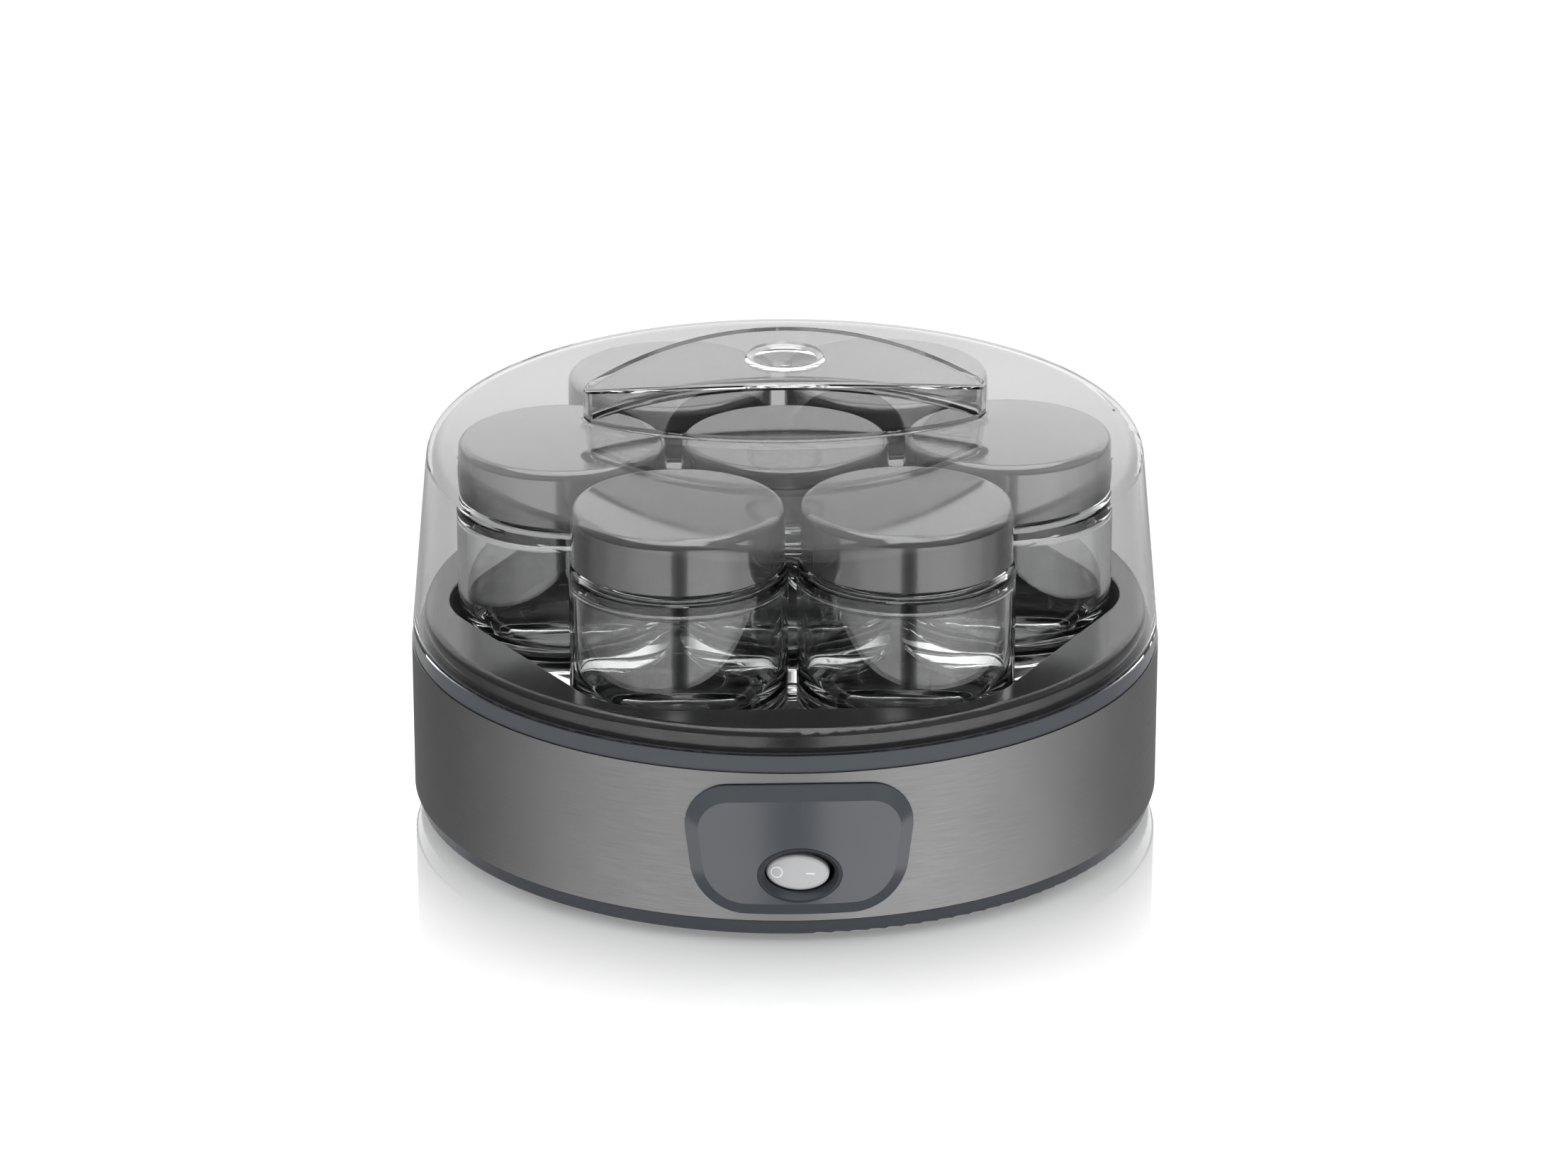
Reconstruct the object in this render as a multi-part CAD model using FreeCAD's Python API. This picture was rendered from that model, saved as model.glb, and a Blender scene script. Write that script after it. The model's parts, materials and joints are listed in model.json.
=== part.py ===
"""Electric yogurt maker: a heated base with a metal band, seven glass jars with
twist lids, and a clear cover with a hollow handle.

Millimetres. The origin is the centre of the base on the table, +Z is up, and the
control panel faces -Y.
"""
import FreeCAD, Part
import math
import os

Vec = FreeCAD.Vector
ORIGIN = Vec(0, 0, 0)
RIGHT = Vec(1, 0, 0)
BACK = Vec(0, 1, 0)
UP = Vec(0, 0, 1)

# Jars and their lids
JAR_RADIUS = 33.35
JAR_WALL = 3.0
JAR_HEIGHT = 73.8
JAR_BASE_THICKNESS = 6.0
JAR_INNER_BOTTOM_RADIUS = 22.0
JAR_FOOT_RADIUS = 5.0
JAR_PUNT_RADIUS = 24.0
JAR_PUNT_DEPTH = 1.2
JAR_SHOULDER_RADIUS = 2.5
NECK_RADIUS = 29.2
NECK_WALL = 2.7
MOUTH_ROUND = 1.0
LID_RADIUS = 32.5
LID_WALL = 1.7
LID_TOP_THICKNESS = 3.0
LID_HEIGHT = 17.4
LID_EDGE_RADIUS = 2.6
LID_SKIRT_ROUND = 0.5
LID_SEAT_GAP = 0.2
LID_SHOULDER_GAP = 0.6
LUG_COUNT = 4
LUG_HEIGHT = 2.2
LUG_RUNNING_GAP = 0.3
LUG_SIDE_GAP = 0.4
JAR_LUG_SWEEP = 40.0
LID_LUG_SWEEP = 30.0
LUG_BELOW_MOUTH = 5.6

# Layout of the jars in the well: one in the middle, six around it
JAR_GAP = 2.6
WELL_CLEARANCE = 2.6
WELL_DEPTH = 24.8
WELL_FLOOR_THICKNESS = 2.4
WELL_EDGE_ROUND = 0.8
WELL_WALL = 2.2
WELL_FLANGE = 2.8
WELL_FLANGE_THICKNESS = 1.6

# Base: rubber feet, bottom cover, housing and metal band
FOOT_HEIGHT = 3.0
FOOT_RADIUS = 8.0
FOOT_EDGE = 0.8
FOOT_STUD_RADIUS = 2.5
FOOT_STUD_PROUD = 1.0
FOOT_INSET = 19.5
COVER_HEIGHT = 5.15
COVER_FLOOR_THICKNESS = 2.5
COVER_TAPER = 1.4
COVER_ROUND = 1.2
BAND_HEIGHT = 47.9
BAND_THICKNESS = 0.6
BAND_PROUD = 0.5
BAND_CLEARANCE = 0.1
SEAM = 0.35
HOUSING_WALL = 2.2
STRIP_HEIGHT = 5.05
STRIP_ROUND = 0.4
STRIP_TAPER = 0.5
RIM_WIDTH = 8.25
RIM_HEIGHT = 7.0
RIM_ROUND = 2.2
DECK_THICKNESS = 2.5

# Bottom screws and their bosses
BOSS_ANGLES = (30.0, 150.0, 210.0, 330.0)
BOSS_RADIUS = 4.0
BOSS_WALL_GAP = 0.8
SCREW_RADIUS = 1.35
SCREW_LENGTH = 13.0
SCREW_HEAD_RADIUS = 3.0
SCREW_HEAD_HEIGHT = 2.0
SCREW_TIP_GAP = 1.0
SCREW_HOLE_CLEARANCE = 0.25
FIT = 0.05

# Clear cover and its handle
COVER_WALL = 1.8
COVER_RIM_GAP = 1.7
COVER_DRAFT = math.radians(5.36)
COVER_HEADROOM = 6.9
CROWN_RADIUS = 1000.0
COVER_SHOULDER_RADIUS = 8.55
HANDLE_LENGTH = 125.4
HANDLE_WIDTH = 55.0
HANDLE_TIP_RADIUS = 6.0
HANDLE_RISE = 18.5
HANDLE_ARCH = 10.2
HANDLE_EDGE_RADIUS = 1.0
HANDLE_FOOT_ROUND = 1.6
DIMPLE_RADIUS = 12.7
DIMPLE_DEPTH = 3.2
GATE_MARK_RADIUS = 2.0
GATE_MARK_HEIGHT = 0.25

# Control panel on the front of the band
PANEL_TOP_WIDTH = 72.0
PANEL_BOTTOM_WIDTH = 62.0
PANEL_TOP_GAP = 2.6
PANEL_TOP_DROP = 2.5
PANEL_TOP_ARCH = 300.0
PANEL_BOTTOM_GAP = 2.5
PANEL_TOP_CORNER = 13.5
PANEL_BOTTOM_CORNER = 17.0
PANEL_EDGE_PROUD = 0.8
PANEL_BEVEL_DEPTH = 1.8
PANEL_BEVEL_WIDTH = 4.0
PANEL_SEAT_GAP = 0.1

# Oval rocker switch in the panel
SWITCH_DROP = 7.95
BEZEL_WIDTH = 25.4
BEZEL_HEIGHT = 17.4
BEZEL_FLANGE = 1.2
BEZEL_LIP = 0.6
BEZEL_SLOPE_DEPTH = 2.6
BEZEL_DEPTH = 4.4
BEZEL_SLEEVE_WALL = 1.4
BEZEL_FIT = 0.15
ROCKER_WIDTH = 19.1
ROCKER_HEIGHT = 11.4
ROCKER_SIDE_GAP = 0.95
ROCKER_END_GAP = 0.6
ROCKER_RECESS = 1.8
ROCKER_THICKNESS = 2.8
ROCKER_EDGE = 0.9
ROCKER_TILT = 8.5
ROCKER_PIVOT_DEPTH = 7.0
ROCKER_HUB_WIDTH = 7.0
ROCKER_HUB_HEIGHT = 9.0
ROCKER_HUB_REACH = 1.6
TRUNNION_RADIUS = 1.5
TRUNNION_REACH = 1.2
SWITCH_BODY_DEPTH = 16.0
SWITCH_BODY_WALL = 2.0
SWITCH_POCKET_SIDE_GAP = 1.35
SWITCH_POCKET_END_GAP = 0.7
SWITCH_POCKET_DEPTH = 6.4
COLLAR_WALL = 2.0
COLLAR_GAP = 0.3
COLLAR_DEPTH = 8.0
BLADE_SPACING = 12.0
BLADE_WIDTH = 6.3
BLADE_THICKNESS = 0.8
BLADE_LENGTH = 7.7

# Heater under the well floor
PLATE_RADIUS = 84.0
PLATE_THICKNESS = 1.5
MAT_RETAINER_GAP = 2.5
MAT_INNER_RADIUS = 34.0
MAT_THICKNESS = 1.6
POST_COUNT = 4
POST_RADIUS = 3.0
POST_LENGTH = 6.0
POST_INSET = 5.0
POST_HOLE_CLEARANCE = 0.3
RETAINER_RADIUS = 6.5
RETAINER_THICKNESS = 1.0
THERMOSTAT_RADIUS = 8.0
THERMOSTAT_HEIGHT = 10.0
THERMOSTAT_FLANGE_RADIUS = 11.0
THERMOSTAT_FLANGE = 1.2
TAB_SPACING = 9.0
TAB_WIDTH = 4.8
TAB_THICKNESS = 0.8
TAB_LENGTH = 7.0
FUSE_RADIUS = 2.0
FUSE_LENGTH = 11.0
FUSE_LEAD_RADIUS = 0.5
FUSE_LEAD_LENGTH = 6.5
FUSE_OFFSET = 18.0
CLIP_WIDTH = 5.0
CLIP_THICKNESS = 0.9
CLIP_FOOT = 4.0

# Mains inlet at the back and the terminal block behind it
INLET_HEIGHT = 21.0
BUSH_BORE_RADIUS = 3.4
BUSH_NECK_RADIUS = 5.0
BUSH_FLANGE_RADIUS = 7.5
BUSH_FLANGE_THICKNESS = 2.5
BUSH_FLANGE_ROUND = 0.8
BUSH_LIP = 0.9
BUSH_LIP_LENGTH = 1.6
BUSH_GAP = 0.1
BLOCK_WIDTH = 24.0
BLOCK_DEPTH = 16.0
BLOCK_HEIGHT = 13.0
BLOCK_INSET = 16.6
BLOCK_HOLE_SPACING = 12.0
BLOCK_HOLE_RADIUS = 1.7
BLOCK_SCREW_RADIUS = 1.8
BLOCK_SCREW_PROUD = 0.6
BLOCK_SCREW_SLOT = 0.6

# Insulated wires between the terminals
WIRE_RADIUS = 1.2
WIRE_BEND = 5.0
WIRE_FLOOR_GAP = 4.0
WIRE_ENTRY = 5.0
WIRE_SIDE_ROUTE = 36.0
SWITCH_WIRE_RUN = 20.0
BLOCK_WIRE_RUN = 15.0
FUSE_WIRE_RUN = 10.0
FUSE_WIRE_DROP = 15.0
HEATER_LEAD_SPACING = 18.0

# Radii that follow from the jars outwards
JAR_PITCH = 2 * JAR_RADIUS + JAR_GAP
WELL_CORNER_RADIUS = JAR_RADIUS + WELL_CLEARANCE
RIM_RADIUS = JAR_PITCH + WELL_CORNER_RADIUS + RIM_WIDTH
COVER_BASE_RADIUS = RIM_RADIUS + COVER_RIM_GAP + COVER_WALL
STRIP_RADIUS = COVER_BASE_RADIUS
BAND_RADIUS = COVER_BASE_RADIUS + BAND_PROUD
HOUSING_RADIUS = BAND_RADIUS - BAND_THICKNESS - BAND_CLEARANCE
HOUSING_INNER_RADIUS = HOUSING_RADIUS - HOUSING_WALL
BOSS_CIRCLE = RIM_RADIUS - HOUSING_WALL - BOSS_RADIUS - BOSS_WALL_GAP
POST_CIRCLE = PLATE_RADIUS - POST_INSET
MAT_OUTER_RADIUS = POST_CIRCLE - RETAINER_RADIUS - MAT_RETAINER_GAP

# Heights that follow from the table upwards
COVER_FLOOR = FOOT_HEIGHT + COVER_FLOOR_THICKNESS
COVER_TOP = FOOT_HEIGHT + COVER_HEIGHT
BAND_BOTTOM = COVER_TOP + SEAM
BAND_TOP = BAND_BOTTOM + BAND_HEIGHT
STRIP_BOTTOM = BAND_TOP + SEAM
LEDGE = STRIP_BOTTOM + STRIP_HEIGHT
RIM_TOP = LEDGE + RIM_HEIGHT
DECK_UNDERSIDE = RIM_TOP - DECK_THICKNESS
WELL_FLOOR = RIM_TOP - WELL_DEPTH
WELL_UNDERSIDE = WELL_FLOOR - WELL_FLOOR_THICKNESS
PLATE_UNDERSIDE = WELL_UNDERSIDE - PLATE_THICKNESS
MAT_UNDERSIDE = PLATE_UNDERSIDE - MAT_THICKNESS
LID_TOP = WELL_FLOOR + JAR_HEIGHT + LID_SEAT_GAP + LID_TOP_THICKNESS
CROWN_TOP = LID_TOP + COVER_HEADROOM + COVER_WALL
HANDLE_TOP = CROWN_TOP + HANDLE_RISE

# Places on the front panel and the back wall
PANEL_TOP = BAND_TOP - PANEL_TOP_GAP
PANEL_BOTTOM = BAND_BOTTOM + PANEL_BOTTOM_GAP
PANEL_EDGE_FACE = -(BAND_RADIUS + PANEL_EDGE_PROUD)
PANEL_FACE = PANEL_EDGE_FACE - PANEL_BEVEL_DEPTH
PANEL_SEAT_RADIUS = BAND_RADIUS + PANEL_SEAT_GAP
SWITCH_HEIGHT = (PANEL_TOP + PANEL_BOTTOM) / 2 - SWITCH_DROP
PIVOT = Vec(0, PANEL_FACE + ROCKER_PIVOT_DEPTH, SWITCH_HEIGHT)
SWITCH_FRONT = PANEL_FACE + BEZEL_DEPTH
SWITCH_BACK = SWITCH_FRONT + SWITCH_BODY_DEPTH
BLADE_END = SWITCH_BACK + BLADE_LENGTH
SLEEVE_HALF_WIDTH = ROCKER_WIDTH / 2 + ROCKER_SIDE_GAP
SLEEVE_HALF_HEIGHT = ROCKER_HEIGHT / 2 + ROCKER_END_GAP
POCKET_HALF_WIDTH = ROCKER_WIDTH / 2 + SWITCH_POCKET_SIDE_GAP
POCKET_HALF_HEIGHT = ROCKER_HEIGHT / 2 + SWITCH_POCKET_END_GAP
SWITCH_HALF_WIDTH = POCKET_HALF_WIDTH + SWITCH_BODY_WALL
SWITCH_HALF_HEIGHT = POCKET_HALF_HEIGHT + SWITCH_BODY_WALL
COLLAR_HALF_WIDTH = SWITCH_HALF_WIDTH + COLLAR_GAP + COLLAR_WALL
COLLAR_HALF_HEIGHT = SWITCH_HALF_HEIGHT + COLLAR_GAP + COLLAR_WALL
INLET_Z = COVER_FLOOR + INLET_HEIGHT
BLOCK_BACK = HOUSING_INNER_RADIUS - BLOCK_INSET
BLOCK_FRONT = BLOCK_BACK - BLOCK_DEPTH
BLOCK_HOLE_Z = COVER_FLOOR + BLOCK_HEIGHT / 2
THERMOSTAT_BOTTOM = PLATE_UNDERSIDE - THERMOSTAT_HEIGHT
TAB_END = THERMOSTAT_BOTTOM - TAB_LENGTH
FUSE_Z = PLATE_UNDERSIDE - FUSE_RADIUS - FIT

# Outlines and basic solids


def in_section(point):
    """Put a flat (radius, height) point on the XZ plane for turning about Z."""
    return Vec(point.x, 0, point.y)


def rounded_outline(corners, place):
    """Closed wire through (u, v, radius) corners, each rounded by a tangent arc of its radius."""
    starts = []
    middles = []
    ends = []
    for i, (u, v, radius) in enumerate(corners):
        here = Vec(u, v, 0)
        before = corners[i - 1]
        after = corners[(i + 1) % len(corners)]
        to_before = (Vec(before[0], before[1], 0) - here).normalize()
        to_after = (Vec(after[0], after[1], 0) - here).normalize()
        half_turn = to_before.getAngle(to_after) / 2
        bisector = (to_before + to_after).normalize() if radius else ORIGIN
        reach = radius / math.tan(half_turn)
        starts.append(here + to_before * reach)
        middles.append(here + bisector * (radius / math.sin(half_turn) - radius))
        ends.append(here + to_after * reach)
    edges = []
    for i, (u, v, radius) in enumerate(corners):
        if radius:
            edges.append(Part.Arc(place(starts[i]), place(middles[i]), place(ends[i])).toShape())
        run_start = place(ends[i])
        run_end = place(starts[(i + 1) % len(corners)])
        if run_start.distanceToPoint(run_end) > Part.Precision.confusion():
            edges.append(Part.makeLine(run_start, run_end))
    return Part.Wire(edges)


def turned(corners):
    """Solid of revolution about Z from (radius, height, rounding) corners."""
    return Part.Face(rounded_outline(corners, in_section)).revolve(ORIGIN, UP, 360)


def turned_segment(inner, outer, bottom, top, middle_angle, sweep):
    """Part of a ring of rectangular section, centred on an angle in degrees."""
    corners = [(inner, bottom, 0), (outer, bottom, 0), (outer, top, 0), (inner, top, 0)]
    segment = Part.Face(rounded_outline(corners, in_section)).revolve(ORIGIN, UP, sweep)
    segment.rotate(ORIGIN, UP, middle_angle - sweep / 2)
    return segment


def box(low, high):
    """Box between two opposite corners."""
    size = high - low
    return Part.makeBox(size.x, size.y, size.z, low)


def post(x, y, bottom, top, radius):
    """Upright cylinder."""
    return Part.makeCylinder(radius, top - bottom, Vec(x, y, bottom), UP)


def around(radius, angle):
    """Point on a circle about Z, as (x, y)."""
    turn = math.radians(angle)
    return radius * math.cos(turn), radius * math.sin(turn)


def well_prism(offset, bottom, top):
    """Rounded hexagon of the well, grown by an offset."""
    rounding = WELL_CORNER_RADIUS + offset
    corner_distance = JAR_PITCH + rounding / math.cos(math.pi / 6)
    corners = []
    for angle in range(0, 360, 60):
        x, y = around(corner_distance, angle)
        corners.append((x, y, rounding))
    outline = rounded_outline(corners, lambda point: Vec(point.x, point.y, bottom))
    return Part.Face(outline).extrude(UP * (top - bottom))


def oval_wire(half_width, half_height, y):
    """Ellipse of the switch, facing -Y."""
    centre = Vec(0, y, SWITCH_HEIGHT)
    curve = Part.Ellipse(centre + RIGHT * half_width, centre + UP * half_height, centre)
    return Part.Wire(curve.toShape())


def oval(half_width, half_height, front, back):
    """Oval plug of the switch between two depths."""
    return Part.Face(oval_wire(half_width, half_height, front)).extrude(BACK * (back - front))


def switch_box(half_width, half_height, front, back):
    """Box centred on the switch."""
    low = Vec(-half_width, front, SWITCH_HEIGHT - half_height)
    high = Vec(half_width, back, SWITCH_HEIGHT + half_height)
    return box(low, high)


def tube(points):
    """Round wire along straight runs joined by tangent arcs."""
    edges = []
    run_start = points[0]
    for before, here, after in zip(points, points[1:], points[2:]):
        to_before = (before - here).normalize()
        to_after = (after - here).normalize()
        half_turn = to_before.getAngle(to_after) / 2
        reach = WIRE_BEND / math.tan(half_turn)
        bisector = (to_before + to_after).normalize()
        middle = here + bisector * (WIRE_BEND / math.sin(half_turn) - WIRE_BEND)
        arc_start = here + to_before * reach
        arc_end = here + to_after * reach
        edges.append(Part.makeLine(run_start, arc_start))
        edges.append(Part.Arc(arc_start, middle, arc_end).toShape())
        run_start = arc_end
    edges.append(Part.makeLine(run_start, points[-1]))
    path = Part.Wire(edges)
    section = Part.Wire(Part.makeCircle(WIRE_RADIUS, points[0], points[1] - points[0]))
    solid = path.makePipeShell([section], True, False)
    expected = math.pi * WIRE_RADIUS ** 2 * path.Length
    print("wire length %.1f mm, volume %.4f of its section times its length"
          % (path.Length, solid.Volume / expected))
    return solid


# Jars and lids


def jar():
    """Glass jar standing at the origin, with twist lugs on its neck."""
    neck_bottom = JAR_HEIGHT + LID_SEAT_GAP + LID_TOP_THICKNESS - LID_HEIGHT - LID_SHOULDER_GAP
    outside = turned([
        (0, JAR_PUNT_DEPTH, 0),
        (JAR_PUNT_RADIUS - JAR_PUNT_DEPTH, JAR_PUNT_DEPTH, 0),
        (JAR_PUNT_RADIUS, 0, 0),
        (JAR_RADIUS, 0, JAR_FOOT_RADIUS),
        (JAR_RADIUS, neck_bottom, JAR_SHOULDER_RADIUS),
        (NECK_RADIUS, neck_bottom, 0),
        (NECK_RADIUS, JAR_HEIGHT, MOUTH_ROUND),
        (0, JAR_HEIGHT, 0),
    ])
    inner_radius = JAR_RADIUS - JAR_WALL
    mouth_radius = NECK_RADIUS - NECK_WALL
    shoulder_drop = inner_radius - mouth_radius
    inside = turned([
        (0, JAR_BASE_THICKNESS, 0),
        (inner_radius, JAR_BASE_THICKNESS, JAR_INNER_BOTTOM_RADIUS),
        (inner_radius, neck_bottom - JAR_WALL - shoulder_drop, JAR_SHOULDER_RADIUS),
        (mouth_radius, neck_bottom - JAR_WALL, JAR_SHOULDER_RADIUS),
        (mouth_radius, JAR_HEIGHT, 0),
        (0, JAR_HEIGHT, 0),
    ])
    glass = outside.cut(inside)
    lug_top = JAR_HEIGHT - LUG_BELOW_MOUTH
    lug_radius = LID_RADIUS - LID_WALL - LUG_SIDE_GAP
    lugs = []
    for i in range(LUG_COUNT):
        angle = 360 / LUG_COUNT * i
        lugs.append(turned_segment(NECK_RADIUS - NECK_WALL / 2, lug_radius, lug_top - LUG_HEIGHT, lug_top,
                                   angle, JAR_LUG_SWEEP))
    return glass.fuse(lugs)


def jar_lid():
    """Lid closed on a jar that stands at the origin: its lugs lie under the jar's."""
    top = JAR_HEIGHT + LID_SEAT_GAP + LID_TOP_THICKNESS
    bottom = top - LID_HEIGHT
    inner_radius = LID_RADIUS - LID_WALL
    cap = turned([
        (0, top, 0),
        (LID_RADIUS, top, LID_EDGE_RADIUS),
        (LID_RADIUS, bottom, LID_SKIRT_ROUND),
        (inner_radius, bottom, 0),
        (inner_radius, top - LID_TOP_THICKNESS, 0),
        (0, top - LID_TOP_THICKNESS, 0),
    ])
    lug_top = JAR_HEIGHT - LUG_BELOW_MOUTH - LUG_HEIGHT - LUG_RUNNING_GAP
    lugs = []
    for i in range(LUG_COUNT):
        angle = 360 / LUG_COUNT * i
        lugs.append(turned_segment(NECK_RADIUS + LUG_SIDE_GAP, LID_RADIUS - LID_WALL / 2,
                                   lug_top - LUG_HEIGHT, lug_top, angle, LID_LUG_SWEEP))
    return cap.fuse(lugs)


def jar_places():
    """Name and centre of each jar."""
    names = ("right", "rear_right", "rear_left", "left", "front_left", "front_right")
    places = {"centre": Vec(0, 0, WELL_FLOOR)}
    for i, name in enumerate(names):
        x, y = around(JAR_PITCH, 60 * i)
        places[name] = Vec(x, y, WELL_FLOOR)
    return places


# Clear cover


def cover_form(base_radius, crown_top, crown_radius, shoulder_radius):
    """Solid under a drafted wall, a rounded shoulder and a shallow crown."""
    slope = math.tan(COVER_DRAFT)
    crown_centre = crown_top - crown_radius
    # The shoulder's centre lies one shoulder radius inside both the wall and the crown.
    start = base_radius - shoulder_radius / math.cos(COVER_DRAFT)
    rise = LEDGE - crown_centre
    reach = crown_radius - shoulder_radius
    square = 1 + slope ** 2
    half_linear = rise - start * slope
    rest = start ** 2 + rise ** 2 - reach ** 2
    height = (math.sqrt(half_linear ** 2 - square * rest) - half_linear) / square
    shoulder = Vec(start - slope * height, 0, LEDGE + height)
    centre = Vec(0, 0, crown_centre)
    wall_side = Vec(math.cos(COVER_DRAFT), 0, math.sin(COVER_DRAFT))
    crown_side = (shoulder - centre).normalize()
    between = (wall_side + crown_side).normalize()
    crown_middle = (crown_side + UP).normalize()
    wall_end = shoulder + wall_side * shoulder_radius
    crown_start = shoulder + crown_side * shoulder_radius
    outline = Part.Wire([
        Part.makeLine(Vec(0, 0, LEDGE), Vec(base_radius, 0, LEDGE)),
        Part.makeLine(Vec(base_radius, 0, LEDGE), wall_end),
        Part.Arc(wall_end, shoulder + between * shoulder_radius, crown_start).toShape(),
        Part.Arc(crown_start, centre + crown_middle * crown_radius, Vec(0, 0, crown_top)).toShape(),
        Part.makeLine(Vec(0, 0, crown_top), Vec(0, 0, LEDGE)),
    ])
    return Part.Face(outline).revolve(ORIGIN, UP, 360)


def handle_form(offset):
    """Lens-shaped upright block with an arched top, shrunk by an offset."""
    half_length = HANDLE_LENGTH / 2 - offset
    half_width = HANDLE_WIDTH / 2 - offset
    tip_radius = HANDLE_TIP_RADIUS - offset
    tip_centre = half_length - tip_radius
    side_radius = (tip_centre ** 2 + half_width ** 2 - tip_radius ** 2) / (2 * (half_width - tip_radius))
    side_centre = side_radius - half_width
    stretch = side_radius / (side_radius - tip_radius)
    touch_x = tip_centre * stretch
    touch_y = side_centre * stretch - side_centre
    bottom = LID_TOP + COVER_HEADROOM / 2
    back_right = Vec(touch_x, touch_y, bottom)
    back_left = Vec(-touch_x, touch_y, bottom)
    front_left = Vec(-touch_x, -touch_y, bottom)
    front_right = Vec(touch_x, -touch_y, bottom)
    outline = Part.Wire([
        Part.Arc(back_right, Vec(0, half_width, bottom), back_left).toShape(),
        Part.Arc(back_left, Vec(-half_length, 0, bottom), front_left).toShape(),
        Part.Arc(front_left, Vec(0, -half_width, bottom), front_right).toShape(),
        Part.Arc(front_right, Vec(half_length, 0, bottom), back_right).toShape(),
    ])
    block = Part.Face(outline).extrude(UP * (HANDLE_TOP + HANDLE_ARCH - bottom))
    return block.common(handle_arch(offset, bottom))


def handle_arch(offset, bottom):
    """Block wider than the handle, with the handle's arched top."""
    arch_radius = ((HANDLE_LENGTH / 2) ** 2 + HANDLE_ARCH ** 2) / (2 * HANDLE_ARCH)
    centre = Vec(0, -HANDLE_WIDTH, HANDLE_TOP - arch_radius)
    top_radius = arch_radius - offset
    reach = math.asin(HANDLE_LENGTH / 2 / arch_radius) + HANDLE_ARCH / arch_radius
    right = centre + (RIGHT * math.sin(reach) + UP * math.cos(reach)) * top_radius
    left = Vec(-right.x, right.y, right.z)
    outline = Part.Wire([
        Part.Arc(right, centre + UP * top_radius, left).toShape(),
        Part.makeLine(left, Vec(left.x, left.y, bottom)),
        Part.makeLine(Vec(left.x, left.y, bottom), Vec(right.x, right.y, bottom)),
        Part.makeLine(Vec(right.x, right.y, bottom), right),
    ])
    return Part.Face(outline).extrude(BACK * (2 * HANDLE_WIDTH))


def dimple(offset):
    """Ball that presses the finger dimple into the top of the handle."""
    ball_radius = (DIMPLE_RADIUS ** 2 + DIMPLE_DEPTH ** 2) / (2 * DIMPLE_DEPTH)
    return Part.makeSphere(ball_radius + offset, Vec(0, 0, HANDLE_TOP - DIMPLE_DEPTH + ball_radius))


def is_handle_foot(edge):
    """True for the edges where the handle's sides meet the crown."""
    bounds = edge.BoundBox
    level = bounds.ZMin > CROWN_TOP - HANDLE_ARCH / 2 and bounds.ZMax < CROWN_TOP + FIT
    return level and bounds.XMax < HANDLE_LENGTH / 2 + FIT and bounds.XMin > -HANDLE_LENGTH / 2 - FIT


def dome_cover():
    """Clear cover with a hollow handle moulded into its crown."""
    handle = handle_form(0)
    upper = [edge for edge in handle.Edges if edge.BoundBox.ZMin > HANDLE_TOP - 2 * HANDLE_ARCH]
    handle = handle.makeFillet(HANDLE_EDGE_RADIUS, upper)
    outside = cover_form(COVER_BASE_RADIUS, CROWN_TOP, CROWN_RADIUS, COVER_SHOULDER_RADIUS)
    outside = outside.fuse(handle)
    outside = outside.makeFillet(HANDLE_FOOT_ROUND, [edge for edge in outside.Edges if is_handle_foot(edge)])
    dimple_bottom = HANDLE_TOP - DIMPLE_DEPTH
    gate_mark = post(0, 0, dimple_bottom - COVER_WALL / 2, dimple_bottom + GATE_MARK_HEIGHT, GATE_MARK_RADIUS)
    outside = outside.cut(dimple(0)).fuse(gate_mark)
    inner_base = COVER_BASE_RADIUS - COVER_WALL / math.cos(COVER_DRAFT)
    inside = cover_form(inner_base, CROWN_TOP - COVER_WALL, CROWN_RADIUS - COVER_WALL,
                        COVER_SHOULDER_RADIUS - COVER_WALL)
    inside = inside.fuse(handle_form(COVER_WALL)).cut(dimple(COVER_WALL))
    return outside.cut(inside)


# Base


def foot(x, y):
    """Rubber foot with a stud through the bottom cover."""
    pad = turned([
        (0, 0, 0),
        (FOOT_RADIUS, 0, FOOT_EDGE),
        (FOOT_RADIUS, FOOT_HEIGHT, 0),
        (FOOT_STUD_RADIUS, FOOT_HEIGHT, 0),
        (FOOT_STUD_RADIUS, COVER_FLOOR + FOOT_STUD_PROUD, 0),
        (0, COVER_FLOOR + FOOT_STUD_PROUD, 0),
    ])
    return pad.translate(Vec(x, y, 0))


def foot_places():
    """Name and centre of each foot."""
    places = {}
    for name, angle in (("rear_right", 45), ("rear_left", 135), ("front_left", 225), ("front_right", 315)):
        places[name] = around(BAND_RADIUS - FOOT_INSET, angle)
    return places


def boss_places():
    """Centres of the bottom screws."""
    return [around(BOSS_CIRCLE, angle) for angle in BOSS_ANGLES]


def bottom_cover():
    """Shallow tray that closes the base; its edge shows below the band."""
    top_radius = STRIP_RADIUS
    tray = turned([
        (0, FOOT_HEIGHT, 0),
        (top_radius - COVER_TAPER, FOOT_HEIGHT, COVER_ROUND),
        (top_radius, COVER_TOP, 0),
        (HOUSING_INNER_RADIUS, COVER_TOP, 0),
        (HOUSING_INNER_RADIUS, COVER_FLOOR, 0),
        (0, COVER_FLOOR, 0),
    ])
    holes = []
    for x, y in foot_places().values():
        holes.append(post(x, y, 0, COVER_TOP, FOOT_STUD_RADIUS + FIT))
    for x, y in boss_places():
        holes.append(post(x, y, 0, COVER_TOP, SCREW_RADIUS + SCREW_HOLE_CLEARANCE))
    return tray.cut(holes)


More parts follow.
